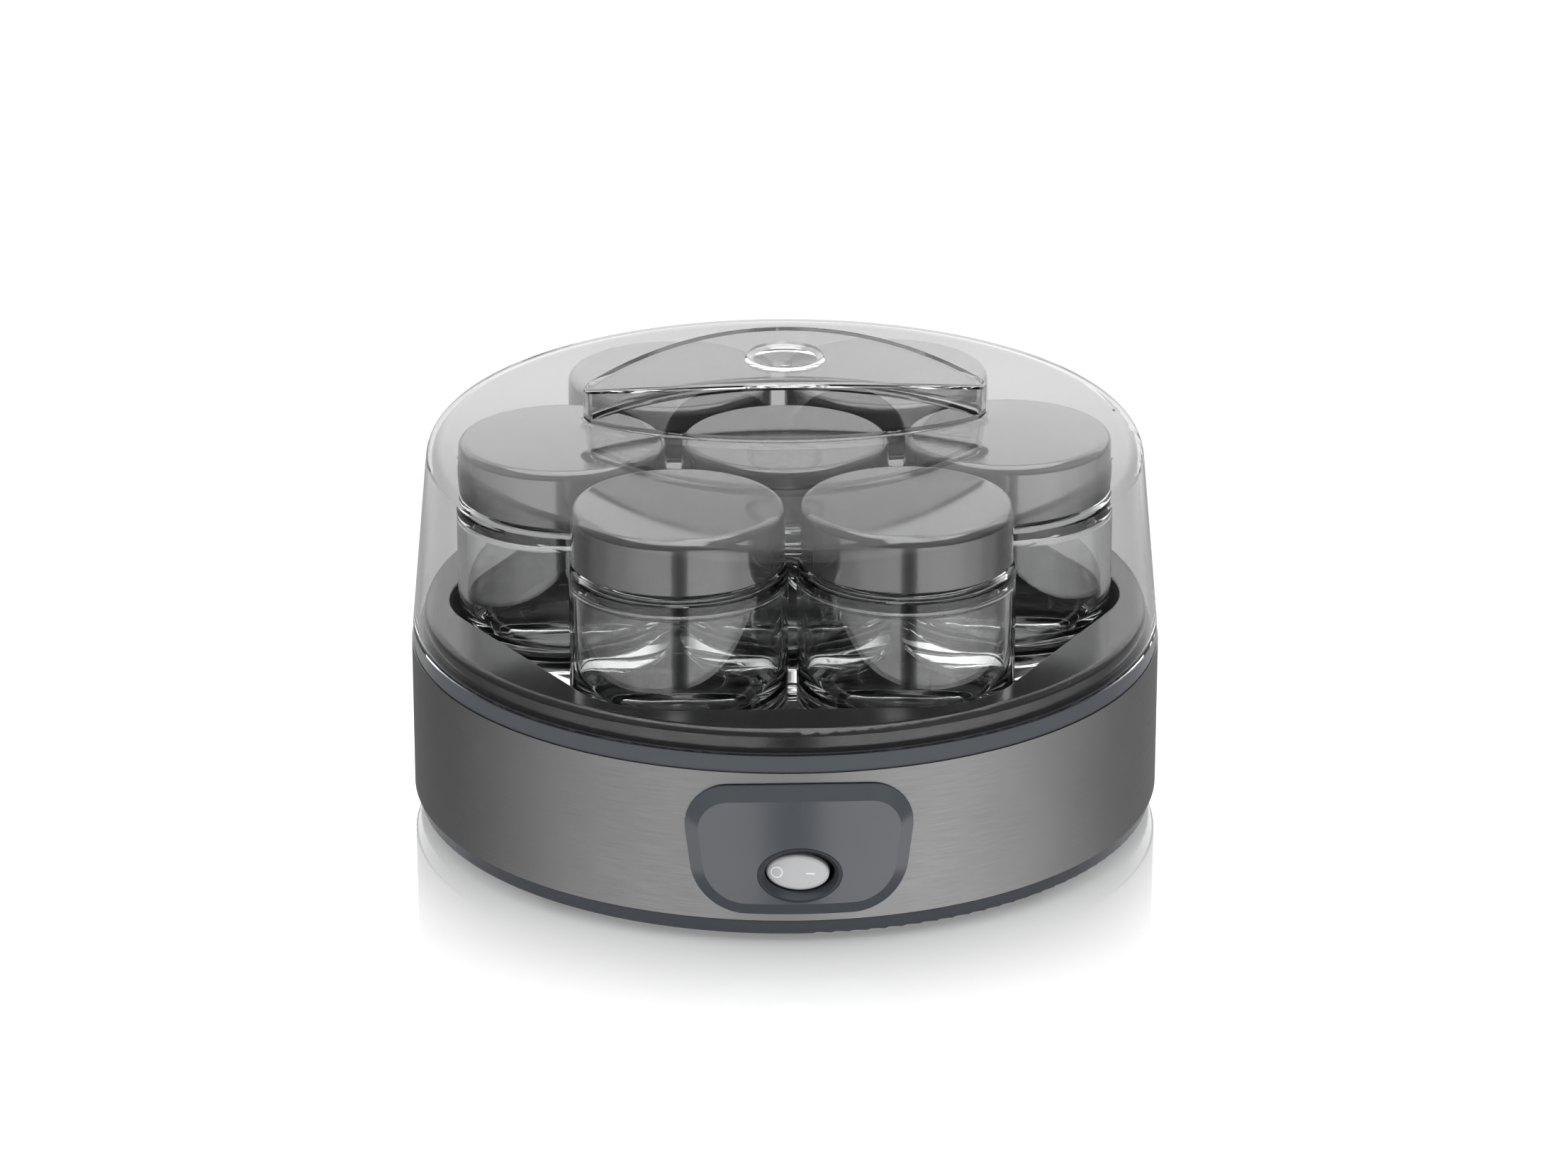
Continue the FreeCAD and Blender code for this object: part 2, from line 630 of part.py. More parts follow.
def bottom_screws():
    """Pan-head screws from below into the housing's bosses."""
    screws = []
    for x, y in boss_places():
        head = post(x, y, FOOT_HEIGHT - SCREW_HEAD_HEIGHT, FOOT_HEIGHT, SCREW_HEAD_RADIUS)
        shank = post(x, y, FOOT_HEIGHT, FOOT_HEIGHT + SCREW_LENGTH, SCREW_RADIUS)
        screws.append(head.fuse(shank))
    return Part.makeCompound(screws)


def retaining_posts():
    """Centres of the posts that hold the heater plate."""
    places = []
    for i in range(POST_COUNT):
        places.append(around(POST_CIRCLE, 360 / POST_COUNT * (i + 0.5)))
    return places


def collar_cutout():
    """Window through the band and the housing wall for the panel's collar."""
    return switch_box(COLLAR_HALF_WIDTH + COLLAR_GAP, COLLAR_HALF_HEIGHT + COLLAR_GAP,
                      -BAND_RADIUS - PANEL_SEAT_GAP, SWITCH_FRONT + COLLAR_DEPTH)


def inlet_hole():
    """Round hole through the band and the housing wall for the inlet bush."""
    start = Vec(0, HOUSING_INNER_RADIUS - HOUSING_WALL, INLET_Z)
    length = BAND_RADIUS + HOUSING_WALL - start.y
    return Part.makeCylinder(BUSH_NECK_RADIUS + BUSH_GAP, length, start, BACK)


def base_housing():
    """Moulded housing: outer wall, ledge for the cover, rim, and a deck open above the jar well."""
    rim_inner = RIM_RADIUS - HOUSING_WALL
    shell = turned([
        (HOUSING_RADIUS, COVER_TOP, 0),
        (HOUSING_RADIUS, STRIP_BOTTOM, 0),
        (STRIP_RADIUS, STRIP_BOTTOM, 0),
        (STRIP_RADIUS - STRIP_TAPER, LEDGE, STRIP_ROUND),
        (RIM_RADIUS, LEDGE, 0),
        (RIM_RADIUS, RIM_TOP, RIM_ROUND),
        (0, RIM_TOP, 0),
        (0, DECK_UNDERSIDE, 0),
        (rim_inner, DECK_UNDERSIDE, 0),
        (rim_inner, LEDGE - HOUSING_WALL, 0),
        (HOUSING_INNER_RADIUS, LEDGE - HOUSING_WALL, 0),
        (HOUSING_INNER_RADIUS, COVER_TOP, 0),
    ])
    bosses = []
    screw_holes = []
    hole_top = FOOT_HEIGHT + SCREW_LENGTH + SCREW_TIP_GAP
    for x, y in boss_places():
        bosses.append(post(x, y, COVER_FLOOR, DECK_UNDERSIDE + DECK_THICKNESS / 2, BOSS_RADIUS))
        screw_holes.append(post(x, y, COVER_FLOOR, hole_top, SCREW_RADIUS + FIT))
    housing = shell.fuse(bosses)
    housing = housing.cut([well_prism(0, DECK_UNDERSIDE, RIM_TOP)] + screw_holes)
    edge = [e for e in housing.Edges if is_well_edge(e)]
    housing = housing.makeFillet(WELL_EDGE_ROUND, edge)
    return housing.cut([collar_cutout(), inlet_hole()])


def is_well_edge(edge):
    """True for the upper edges of the deck's opening."""
    bounds = edge.BoundBox
    level = abs(bounds.ZMin - RIM_TOP) < FIT and abs(bounds.ZMax - RIM_TOP) < FIT
    reach = max(math.hypot(vertex.X, vertex.Y) for vertex in edge.Vertexes)
    return level and reach < RIM_RADIUS - RIM_ROUND - FIT


def jar_well():
    """Hexagonal tray for the jars, its flange welded under the deck, with posts for the heater plate."""
    tray = well_prism(WELL_WALL, WELL_UNDERSIDE, DECK_UNDERSIDE)
    flange = well_prism(WELL_WALL + WELL_FLANGE, DECK_UNDERSIDE - WELL_FLANGE_THICKNESS, DECK_UNDERSIDE)
    post_top = WELL_FLOOR - WELL_FLOOR_THICKNESS / 2
    posts = []
    for x, y in retaining_posts():
        posts.append(post(x, y, WELL_UNDERSIDE - POST_LENGTH, post_top, POST_RADIUS))
    return tray.fuse([flange] + posts).cut(well_prism(0, WELL_FLOOR, DECK_UNDERSIDE))


def metal_band():
    """Sheet-metal band round the housing."""
    inner = BAND_RADIUS - BAND_THICKNESS
    ring = turned([
        (inner, BAND_BOTTOM, 0),
        (BAND_RADIUS, BAND_BOTTOM, 0),
        (BAND_RADIUS, BAND_TOP, 0),
        (inner, BAND_TOP, 0),
    ])
    return ring.cut([collar_cutout(), inlet_hole()])


# Control panel and switch


def panel_outline():
    """Panel outline in front of the band: wider and arched at the top, with large round corners."""
    half_top = PANEL_TOP_WIDTH / 2
    half_bottom = PANEL_BOTTOM_WIDTH / 2
    top_side = PANEL_TOP - PANEL_TOP_DROP
    corners = [
        (half_top, top_side, PANEL_TOP_CORNER),
        (0, PANEL_TOP, PANEL_TOP_ARCH),
        (-half_top, top_side, PANEL_TOP_CORNER),
        (-half_bottom, PANEL_BOTTOM, PANEL_BOTTOM_CORNER),
        (half_bottom, PANEL_BOTTOM, PANEL_BOTTOM_CORNER),
    ]
    return rounded_outline(corners, lambda point: Vec(point.x, PANEL_FACE, point.y))


def panel_face():
    """Cylinder that the panel's face lies on, about the same axis as the band."""
    return post(0, 0, FOOT_HEIGHT, LEDGE, -PANEL_FACE)


def control_panel():
    """Panel bent round the band, bevelled all round, with a collar for the switch behind it."""
    prism = Part.Face(panel_outline()).extrude(BACK * BAND_RADIUS)
    front = prism.common(panel_face())
    plate = front.cut(post(0, 0, FOOT_HEIGHT, LEDGE, PANEL_SEAT_RADIUS))
    face = min(plate.Faces, key=lambda side: side.CenterOfMass.y)
    plate = plate.makeChamfer(PANEL_BEVEL_WIDTH, PANEL_BEVEL_DEPTH, face.Edges)
    root = -PANEL_SEAT_RADIUS - PANEL_EDGE_PROUD / 2
    collar_end = SWITCH_FRONT + COLLAR_DEPTH - COLLAR_GAP
    collar = switch_box(COLLAR_HALF_WIDTH, COLLAR_HALF_HEIGHT, root, collar_end)
    room = switch_box(SWITCH_HALF_WIDTH + COLLAR_GAP, SWITCH_HALF_HEIGHT + COLLAR_GAP, root, SWITCH_BACK)
    panel = plate.fuse(collar.cut(room))
    bezel_seat = oval(BEZEL_WIDTH / 2 + BEZEL_FIT, BEZEL_HEIGHT / 2 + BEZEL_FIT,
                      PANEL_FACE, PANEL_FACE + BEZEL_FLANGE)
    hole = oval(SLEEVE_HALF_WIDTH + BEZEL_SLEEVE_WALL + BEZEL_FIT,
                SLEEVE_HALF_HEIGHT + BEZEL_SLEEVE_WALL + BEZEL_FIT, PANEL_FACE, SWITCH_FRONT)
    return panel.cut([bezel_seat, hole])


def switch_bezel():
    """Oval ring round the rocker, flush with the panel's face and sloping in from it."""
    flange = oval(BEZEL_WIDTH / 2, BEZEL_HEIGHT / 2, PANEL_FACE, PANEL_FACE + BEZEL_FLANGE)
    sleeve = oval(SLEEVE_HALF_WIDTH + BEZEL_SLEEVE_WALL, SLEEVE_HALF_HEIGHT + BEZEL_SLEEVE_WALL,
                  PANEL_FACE, SWITCH_FRONT)
    opening = oval(SLEEVE_HALF_WIDTH, SLEEVE_HALF_HEIGHT, PANEL_FACE, SWITCH_FRONT)
    wide = oval_wire(BEZEL_WIDTH / 2 - BEZEL_LIP, BEZEL_HEIGHT / 2 - BEZEL_LIP, PANEL_FACE)
    narrow = oval_wire(SLEEVE_HALF_WIDTH, SLEEVE_HALF_HEIGHT, PANEL_FACE + BEZEL_SLOPE_DEPTH)
    slope = Part.makeLoft([wide, narrow], True, True)
    return flange.fuse(sleeve).common(panel_face()).cut([opening, slope])


def switch_rocker():
    """Oval rocker on two trunnions, tilted to its off position."""
    front = PANEL_FACE + ROCKER_RECESS
    back = front + ROCKER_THICKNESS
    key = oval(ROCKER_WIDTH / 2, ROCKER_HEIGHT / 2, front, back)
    rim = [edge for edge in key.Edges if edge.BoundBox.YMax < front + FIT]
    key = key.makeFillet(ROCKER_EDGE, rim)
    hub_end = PIVOT.y + ROCKER_HUB_REACH
    hub = switch_box(ROCKER_HUB_WIDTH / 2, ROCKER_HUB_HEIGHT / 2, back - ROCKER_EDGE, hub_end)
    half_axle = POCKET_HALF_HEIGHT + TRUNNION_REACH
    axle = post(0, PIVOT.y, SWITCH_HEIGHT - half_axle, SWITCH_HEIGHT + half_axle, TRUNNION_RADIUS)
    rocker = key.fuse([hub, axle])
    return rocker.rotate(PIVOT, UP, -ROCKER_TILT)


def switch_body():
    """Switch case with a pocket for the rocker and bearings for its trunnions."""
    case = switch_box(SWITCH_HALF_WIDTH, SWITCH_HALF_HEIGHT, SWITCH_FRONT, SWITCH_BACK)
    pocket_end = SWITCH_FRONT + SWITCH_POCKET_DEPTH
    pocket = switch_box(POCKET_HALF_WIDTH, POCKET_HALF_HEIGHT, SWITCH_FRONT, pocket_end)
    half_bearing = POCKET_HALF_HEIGHT + TRUNNION_REACH + FIT
    bearing_bottom = SWITCH_HEIGHT - half_bearing
    bearing_top = SWITCH_HEIGHT + half_bearing
    bearing = post(0, PIVOT.y, bearing_bottom, bearing_top, TRUNNION_RADIUS + FIT)
    return case.cut([pocket, bearing])


def switch_terminals():
    """Two flat blades out of the back of the switch."""
    blades = []
    for side in (-1, 1):
        x = side * BLADE_SPACING / 2
        low = Vec(x - BLADE_THICKNESS / 2, SWITCH_BACK, SWITCH_HEIGHT - BLADE_WIDTH / 2)
        high = Vec(x + BLADE_THICKNESS / 2, BLADE_END, SWITCH_HEIGHT + BLADE_WIDTH / 2)
        blades.append(box(low, high))
    return Part.makeCompound(blades)


# Heater, thermostat and fuse


def heater_plate():
    """Aluminium plate under the well floor that spreads the heat."""
    plate = post(0, 0, PLATE_UNDERSIDE, WELL_UNDERSIDE, PLATE_RADIUS)
    holes = []
    for x, y in retaining_posts():
        holes.append(post(x, y, PLATE_UNDERSIDE, WELL_UNDERSIDE, POST_RADIUS + POST_HOLE_CLEARANCE))
    return plate.cut(holes)


def heater_mat():
    """Flat heating element on the underside of the plate."""
    mat = post(0, 0, MAT_UNDERSIDE, PLATE_UNDERSIDE, MAT_OUTER_RADIUS)
    return mat.cut(post(0, 0, MAT_UNDERSIDE, PLATE_UNDERSIDE, MAT_INNER_RADIUS))


def plate_retainers():
    """Push-on rings that hold the plate on the well's posts."""
    rings = []
    bottom = PLATE_UNDERSIDE - RETAINER_THICKNESS
    for x, y in retaining_posts():
        ring = post(x, y, bottom, PLATE_UNDERSIDE, RETAINER_RADIUS)
        rings.append(ring.cut(post(x, y, bottom, PLATE_UNDERSIDE, POST_RADIUS + FIT)))
    return Part.makeCompound(rings)


def thermostat():
    """Round bimetal thermostat on the middle of the plate, with two tabs below."""
    flange = post(0, 0, PLATE_UNDERSIDE - THERMOSTAT_FLANGE, PLATE_UNDERSIDE, THERMOSTAT_FLANGE_RADIUS)
    can = post(0, 0, THERMOSTAT_BOTTOM, PLATE_UNDERSIDE, THERMOSTAT_RADIUS)
    tabs = []
    for side in (-1, 1):
        x = side * TAB_SPACING / 2
        low = Vec(x - TAB_THICKNESS / 2, -TAB_WIDTH / 2, TAB_END)
        high = Vec(x + TAB_THICKNESS / 2, TAB_WIDTH / 2, THERMOSTAT_BOTTOM + TAB_THICKNESS)
        tabs.append(box(low, high))
    return flange.fuse([can] + tabs)


def fuse_rod(radius, half_length):
    """Cylinder along X on the thermal fuse's axis."""
    return Part.makeCylinder(radius, 2 * half_length, Vec(-half_length, FUSE_OFFSET, FUSE_Z), RIGHT)


def thermal_fuse():
    """Axial thermal fuse with its two leads."""
    return fuse_rod(FUSE_RADIUS, FUSE_LENGTH / 2).fuse(
        fuse_rod(FUSE_LEAD_RADIUS, FUSE_LENGTH / 2 + FUSE_LEAD_LENGTH))


def fuse_clip():
    """Saddle that holds the thermal fuse against the plate."""
    inner = FUSE_RADIUS + FIT
    outer = inner + CLIP_THICKNESS
    half_width = CLIP_WIDTH / 2
    half_span = outer + CLIP_FOOT
    strap = fuse_rod(outer, half_width)
    sides = box(Vec(-half_width, FUSE_OFFSET - outer, FUSE_Z),
                Vec(half_width, FUSE_OFFSET + outer, PLATE_UNDERSIDE))
    feet = box(Vec(-half_width, FUSE_OFFSET - half_span, PLATE_UNDERSIDE - CLIP_THICKNESS),
               Vec(half_width, FUSE_OFFSET + half_span, PLATE_UNDERSIDE))
    room = box(Vec(-half_width, FUSE_OFFSET - inner, FUSE_Z),
               Vec(half_width, FUSE_OFFSET + inner, PLATE_UNDERSIDE))
    saddle = strap.fuse([sides, feet]).cut([fuse_rod(inner, half_width), room])
    above = box(Vec(-half_width, FUSE_OFFSET - half_span, PLATE_UNDERSIDE),
                Vec(half_width, FUSE_OFFSET + half_span, WELL_FLOOR))
    return saddle.cut(above)


# Inlet bush, terminal block and wires


def inlet_bush():
    """Snap-in bush for the mains lead, in the back wall."""
    flange_back = BAND_RADIUS + BUSH_GAP
    flange_face = flange_back + BUSH_FLANGE_THICKNESS
    lip_front = HOUSING_INNER_RADIUS - BUSH_GAP
    lip_end = lip_front - BUSH_LIP_LENGTH
    lip_radius = BUSH_NECK_RADIUS + BUSH_LIP
    bush = turned([
        (BUSH_BORE_RADIUS, lip_end, 0),
        (BUSH_NECK_RADIUS, lip_end, 0),
        (lip_radius, lip_front - BUSH_GAP, 0),
        (BUSH_NECK_RADIUS, lip_front - BUSH_GAP, 0),
        (BUSH_NECK_RADIUS, flange_back, 0),
        (BUSH_FLANGE_RADIUS, flange_back, 0),
        (BUSH_FLANGE_RADIUS, flange_face, BUSH_FLANGE_ROUND),
        (BUSH_BORE_RADIUS, flange_face, 0),
    ])
    bush.rotate(ORIGIN, RIGHT, -90)
    return bush.translate(Vec(0, 0, INLET_Z))


def block_holes():
    """X positions of the terminal block's two ways."""
    return (-BLOCK_HOLE_SPACING / 2, BLOCK_HOLE_SPACING / 2)


def terminal_block():
    """Two-way terminal block standing on the bottom cover."""
    block = box(Vec(-BLOCK_WIDTH / 2, BLOCK_FRONT, COVER_FLOOR),
                Vec(BLOCK_WIDTH / 2, BLOCK_BACK, COVER_FLOOR + BLOCK_HEIGHT))
    cuts = []
    for x in block_holes():
        start = Vec(x, BLOCK_FRONT, BLOCK_HOLE_Z)
        cuts.append(Part.makeCylinder(BLOCK_HOLE_RADIUS, BLOCK_DEPTH, start, BACK))
        cuts.append(post(x, BLOCK_BACK - BLOCK_DEPTH / 2, BLOCK_HOLE_Z, COVER_FLOOR + BLOCK_HEIGHT,
                         BLOCK_SCREW_RADIUS + FIT))
    return block.cut(cuts)


def terminal_screws():
    """Slotted clamping screws in the top of the terminal block."""
    screws = []
    top = COVER_FLOOR + BLOCK_HEIGHT + BLOCK_SCREW_PROUD
    y = BLOCK_BACK - BLOCK_DEPTH / 2
    for x in block_holes():
        screw = post(x, y, BLOCK_HOLE_Z + BLOCK_HOLE_RADIUS, top, BLOCK_SCREW_RADIUS)
        slot = box(Vec(x - BLOCK_SCREW_RADIUS, y - BLOCK_SCREW_SLOT / 2, top - BLOCK_SCREW_SLOT),
                   Vec(x + BLOCK_SCREW_RADIUS, y + BLOCK_SCREW_SLOT / 2, top))
        screws.append(screw.cut(slot))
    return Part.makeCompound(screws)


def wires():
    """Insulated wires, from terminal to terminal."""
    low = COVER_FLOOR + WIRE_FLOOR_GAP
    blade_x = BLADE_SPACING / 2
    tab_x = TAB_SPACING / 2
    hole_x = BLOCK_HOLE_SPACING / 2
    turn_y = BLADE_END + SWITCH_WIRE_RUN
    block_turn = BLOCK_FRONT - BLOCK_WIRE_RUN
    fuse_end = FUSE_LENGTH / 2 + FUSE_LEAD_LENGTH
    fuse_turn = fuse_end + FUSE_WIRE_RUN
    fuse_low = FUSE_Z - FUSE_WIRE_DROP
    mat_middle = (MAT_OUTER_RADIUS + MAT_INNER_RADIUS) / 2
    lead_y = HEATER_LEAD_SPACING / 2
    return {
        "wire_mains_to_switch": [
            Vec(-hole_x, BLOCK_FRONT + WIRE_ENTRY, BLOCK_HOLE_Z),
            Vec(-hole_x, block_turn, BLOCK_HOLE_Z),
            Vec(-WIRE_SIDE_ROUTE, FUSE_OFFSET, low),
            Vec(-WIRE_SIDE_ROUTE, -FUSE_OFFSET, low),
            Vec(-blade_x, turn_y, SWITCH_HEIGHT),
            Vec(-blade_x, BLADE_END, SWITCH_HEIGHT),
        ],
        "wire_switch_to_thermostat": [
            Vec(blade_x, BLADE_END, SWITCH_HEIGHT),
            Vec(blade_x, turn_y, SWITCH_HEIGHT),
            Vec(tab_x, -FUSE_OFFSET, low),
            Vec(tab_x, 0, low),
            Vec(tab_x, 0, TAB_END),
        ],
        "wire_thermostat_to_fuse": [
            Vec(-tab_x, 0, TAB_END),
            Vec(-tab_x, 0, low),
            Vec(-fuse_turn, FUSE_OFFSET, low),
            Vec(-fuse_turn, FUSE_OFFSET, FUSE_Z),
            Vec(-fuse_end, FUSE_OFFSET, FUSE_Z),
        ],
        "wire_fuse_to_heater": [
            Vec(fuse_end, FUSE_OFFSET, FUSE_Z),
            Vec(fuse_turn, FUSE_OFFSET, FUSE_Z),
            Vec(fuse_turn, FUSE_OFFSET, fuse_low),
            Vec(mat_middle, lead_y, fuse_low),
            Vec(mat_middle, lead_y, MAT_UNDERSIDE),
        ],
        "wire_heater_to_mains": [
            Vec(mat_middle, lead_y + HEATER_LEAD_SPACING, MAT_UNDERSIDE),
            Vec(mat_middle, lead_y + HEATER_LEAD_SPACING, BLOCK_HOLE_Z),
            Vec(hole_x, block_turn, BLOCK_HOLE_Z),
            Vec(hole_x, BLOCK_FRONT + WIRE_ENTRY, BLOCK_HOLE_Z),
        ],
    }


# Assembly: one file per piece


def pieces():
    """Every piece of the yogurt maker by its name."""
    named = {
        "base_housing": base_housing(),
        "jar_well": jar_well(),
        "metal_band": metal_band(),
        "bottom_cover": bottom_cover(),
        "bottom_screws": bottom_screws(),
        "control_panel": control_panel(),
        "switch_bezel": switch_bezel(),
        "switch_body": switch_body(),
        "switch_terminals": switch_terminals(),
        "switch_rocker": switch_rocker(),
        "heater_plate": heater_plate(),
        "heater_mat": heater_mat(),
        "plate_retainers": plate_retainers(),
        "thermostat": thermostat(),
        "thermal_fuse": thermal_fuse(),
        "fuse_clip": fuse_clip(),
        "inlet_bush": inlet_bush(),
        "terminal_block": terminal_block(),
        "terminal_screws": terminal_screws(),
        "dome_cover": dome_cover(),
    }
    for name, (x, y) in foot_places().items():
        named["foot_" + name] = foot(x, y)
    for name, points in wires().items():
        named[name] = tube(points)
    glass = jar()
    lid = jar_lid()
    for name, place in jar_places().items():
        named["jar_" + name] = glass.copy().translate(place)
        named["lid_" + name] = lid.copy().translate(place)
    return named


os.makedirs("parts", exist_ok=True)
for node, shape in pieces().items():
    shape.exportStep("parts/%s.step" % node)
    print("%-28s %2d solid(s) %10.1f mm3 valid %s" % (node, len(shape.Solids), shape.Volume, shape.isValid()))
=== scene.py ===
"""Yogurt maker: materials, marks, camera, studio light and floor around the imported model."""

import json
import math

import bmesh
import bpy
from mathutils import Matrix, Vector

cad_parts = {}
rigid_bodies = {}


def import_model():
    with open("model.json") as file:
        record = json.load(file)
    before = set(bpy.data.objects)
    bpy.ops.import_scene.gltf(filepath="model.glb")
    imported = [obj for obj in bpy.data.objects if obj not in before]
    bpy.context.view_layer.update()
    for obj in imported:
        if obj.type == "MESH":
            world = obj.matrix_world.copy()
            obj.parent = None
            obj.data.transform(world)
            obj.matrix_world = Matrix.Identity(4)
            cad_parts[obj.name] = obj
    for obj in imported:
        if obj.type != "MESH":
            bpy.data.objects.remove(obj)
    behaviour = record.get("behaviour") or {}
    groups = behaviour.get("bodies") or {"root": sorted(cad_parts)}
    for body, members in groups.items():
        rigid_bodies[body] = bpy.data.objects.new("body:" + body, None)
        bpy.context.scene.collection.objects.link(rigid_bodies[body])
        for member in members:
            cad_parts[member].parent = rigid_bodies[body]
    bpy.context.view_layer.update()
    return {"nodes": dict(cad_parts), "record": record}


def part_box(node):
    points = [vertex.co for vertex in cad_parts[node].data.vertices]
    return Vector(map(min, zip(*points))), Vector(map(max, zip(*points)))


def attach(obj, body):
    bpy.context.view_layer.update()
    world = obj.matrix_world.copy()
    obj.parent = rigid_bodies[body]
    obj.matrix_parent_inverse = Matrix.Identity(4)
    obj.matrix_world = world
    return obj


# Camera, fitted to the photograph
IMAGE_WIDTH = 2212
SENSOR_WIDTH = 36.0
CAMERA_DISTANCE = 2.0
CAMERA_ELEVATION = 21.5
CAMERA_AZIMUTH = -2.15
FOCAL_PIXELS = 8945
AIM_HEIGHT = 0.0564
AIM_PIXELS_RIGHT = 1.4
AIM_PIXELS_DOWN = 58.7

# Floor: its own brightness to the camera rises to white between two distances from the middle,
# and the share of its mirror falls to nothing between two others
FLOOR_SIZE = 30.0
FLOOR_ALBEDO = 0.8
FLOOR_GLOSS = 0.04
FLOOR_GLOW = 0.35
WHITE_START = 0.5
WHITE_END = 1.5
MIRROR_SHARE = 0.5
MIRROR_START = 0.105
MIRROR_END = 0.185

# Light on the object, and the brightness of the background seen through glass
AMBIENT = 0.45
SEEN_THROUGH = 0.82
LAMP_AIM = (0, 0, 0.07)
TOP_LAMP_PLACE = (0, 0.1, 1.4)
TOP_LAMP_SIZE = (1.6, 1.6)
TOP_LAMP_WATTS = 9.0
SIDE_LAMP_PLACE = (1.1, -0.9, 0.8)
SIDE_LAMP_SIZE = (0.9, 1.1)
SIDE_LAMP_WATTS = 9.0

# Brightness that shiny surfaces mirror, from the camera's side (0) round to the backdrop (1):
# two soft boxes below the horizon with a gap between them, a dim room, and a lit backdrop above
TABLE_STOPS = (
    (0.0, 0.3),
    (0.003, 0.3),
    (0.0055, 4.0),
    (0.117, 4.0),
    (0.33, 2.7),
    (0.54, 1.4),
    (0.75, 0.5),
    (0.93, 0.45),
)
ROOM_STOPS = (
    (0.0, 0.08),
    (0.3, 0.1),
    (0.6, 0.08),
    (0.85, 0.3),
    (0.97, 1.0),
)
HIGH_STOPS = (
    (0.0, 0.2),
    (0.2, 0.5),
    (0.5, 0.3),
    (0.7, 0.5),
    (0.88, 2.5),
)
OVERHEAD = 6.0
RIGHT_SHARE = 0.2

# How steeply a direction points up where one zone of that room fades into the next
TABLE_FOOT = (-0.62, -0.5)
TABLE_TOP = (-0.335, -0.3)
HIGH_START = (0.05, 0.3)
OVERHEAD_START = (0.8, 0.88)

# The upper moulding: the radius where its rim changes to the strip, and the colour of the strip
STRIP_INNER = 0.1142
STRIP_FADE = 0.0004
STRIP_COLOUR = (0.088, 0.095, 0.106, 1)

# Glass and clear plastic: tint and index as seen, and the shade that lamp light gets in them
JAR_TINT = (0.89, 0.895, 0.893, 1)
JAR_INDEX = 1.51
JAR_SHADE = (0.97, 0.97, 0.97, 1)
WALL_TINT = (0.78, 0.78, 0.78, 1)
WALL_INDEX = 1.1
HANDLE_TINT = (0.73, 0.73, 0.73, 1)
HANDLE_INDEX = 1.49
HANDLE_ROUGHNESS = 0.01
COVER_SHADE = (0.9, 0.9, 0.9, 1)

# The sides of the handle lie within this radius, and their normals point up or down by less than this
HANDLE_REACH = 0.075
HANDLE_STEEP = 0.93

# Marks on the rocker
MARK_HEIGHT = 0.00004
MARK_SEARCH = 0.01
RING_RADIUS = 0.00165
RING_LINE = 0.00036
RING_OFFSET = -0.0064
BAR_LENGTH = 0.0027
BAR_LINE = 0.00042
BAR_OFFSET = 0.0037
RING_STEPS = 48
BAR_STEPS = 8

WHITE = (1, 1, 1, 1)


def linear(value):
    """A linear share of light from a display share."""
    if value <= 0.04045:
        return value / 12.92
    return ((value + 0.055) / 1.055) ** 2.4


def grey(level):
    """A linear colour from a display level of 0 to 255."""
    shade = linear(level / 255)
    return (shade, shade, shade, 1.0)


# Node trees


class Nodes:
    """A node tree, and short ways to add the nodes used here."""

    def __init__(self, tree):
        self.tree = tree

    def node(self, kind, **settings):
        made = self.tree.nodes.new(kind)
        for name, value in settings.items():
            setattr(made, name, value)
        return made

    def feed(self, socket, value):
        """Sets a socket to a constant, or links it to an output."""
        if isinstance(value, (int, float, tuple)):
            socket.default_value = value
        else:
            self.tree.links.new(value, socket)

    def math(self, operation, *values):
        made = self.node("ShaderNodeMath", operation=operation)
        for socket, value in zip(made.inputs, values):
            self.feed(socket, value)
        return made.outputs[0]

    def split(self, vector):
        """The X, Y and Z of a vector."""
        made = self.node("ShaderNodeSeparateXYZ")
        self.feed(made.inputs[0], vector)
        return made.outputs

    def length(self, first, second):
        """Length of a flat vector."""
        squares = [self.math("MULTIPLY", value, value) for value in (first, second)]
        return self.math("SQRT", self.math("ADD", *squares))

    def spread(self, value, low, high, start=0.3, end=0.7, **settings):
        """Maps a value that runs from start to end onto low to high."""
        made = self.node("ShaderNodeMapRange", **settings)
        limits = {"From Min": start, "From Max": end, "To Min": low, "To Max": high}
        for name, limit in limits.items():
            made.inputs[name].default_value = limit
        self.feed(made.inputs["Value"], value)
        return made.outputs["Result"]

    def blend(self, share, first, second):
        """One colour changing into another."""
        made = self.node("ShaderNodeMix", data_type="RGBA")
        self.feed(made.inputs["Factor"], share)
        self.feed(made.inputs["A"], first)
        self.feed(made.inputs["B"], second)
        return made.outputs["Result"]

    def ramp(self, value, stops):
        """A brightness that changes softly from stop to stop."""
        made = self.node("ShaderNodeValToRGB")
        made.color_ramp.interpolation = "EASE"
        steps = made.color_ramp.elements
        while len(steps) < len(stops):
            steps.new(0.5)
        for step, (position, level) in zip(steps, stops):
            step.position = position
            step.color = (level, level, level, 1)
        self.feed(made.inputs[0], value)
        return made.outputs["Color"]

    def mix(self, share, first, second):
        """One shader changing into another."""
        made = self.node("ShaderNodeMixShader")
        for socket, value in zip(made.inputs, (share, first, second)):
            self.feed(socket, value)
        return made.outputs[0]

    def emission(self, strength):
        made = self.node("ShaderNodeEmission")
        self.feed(made.inputs["Strength"], strength)
        return made.outputs[0]

    def background(self, colour, strength):
        made = self.node("ShaderNodeBackground")
        self.feed(made.inputs["Color"], colour)
        self.feed(made.inputs["Strength"], strength)
        return made.outputs[0]


